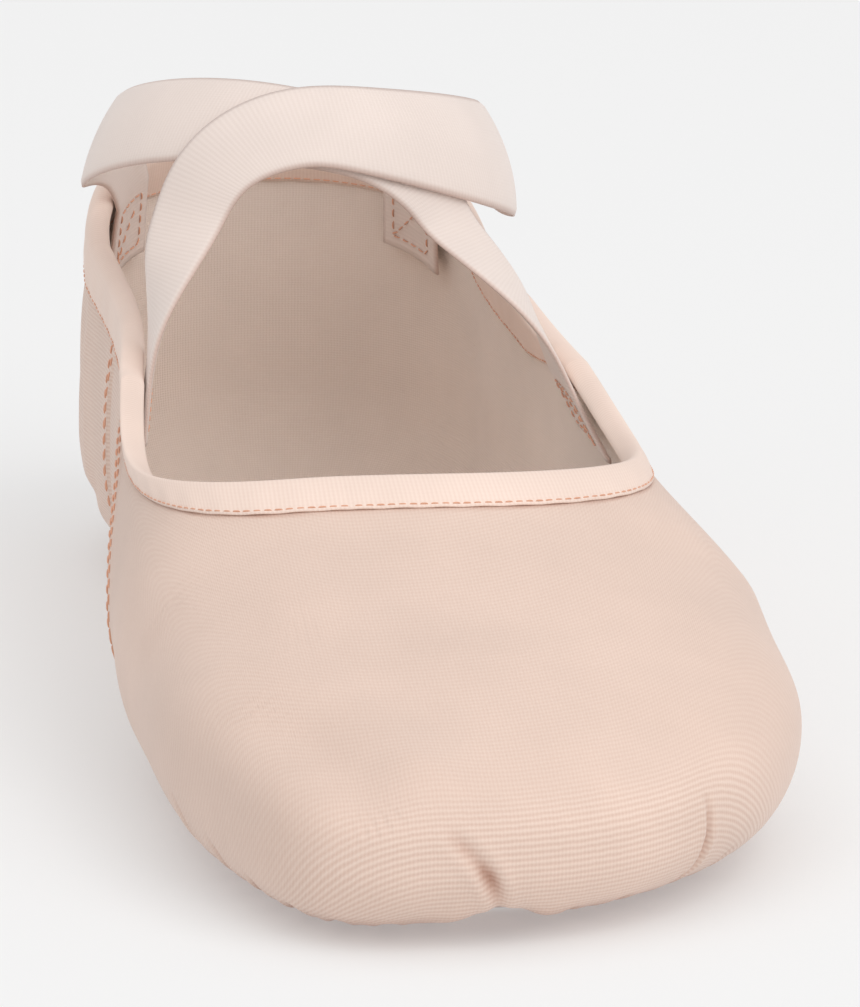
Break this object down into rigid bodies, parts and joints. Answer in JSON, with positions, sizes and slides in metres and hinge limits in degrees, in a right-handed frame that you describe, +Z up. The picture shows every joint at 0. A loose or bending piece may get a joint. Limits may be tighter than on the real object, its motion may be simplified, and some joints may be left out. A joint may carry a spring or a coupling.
{
  "type": "ballet shoe",
  "caption": "Left split-sole ballet shoe of stretch canvas with a taped collar, suede patches under ball and heel, and elastics that cross over the instep.",
  "frame": {"origin": "middle of the bounding box in plan, on the floor that the shoe stands on", "axes": "+Y from the toe to the heel, +X to the little-toe side, +Z up"},
  "size_m": [0.09, 0.24, 0.081],
  "materials": {
    "canvas": "matt, finely ribbed",
    "binding": "matt tape",
    "suede": "napped",
    "insole": "matt",
    "elastic": "satin, cross ribbed"
  },
  "bodies": {
    "root": {"upper": "canvas", "collar_binding": "binding", "sole_patch_forefoot": "suede", "sole_patch_heel": "suede", "insole_forefoot": "insole", "insole_heel": "insole", "strap_over": "elastic", "strap_under": "elastic"}
  },
  "joints": []
}
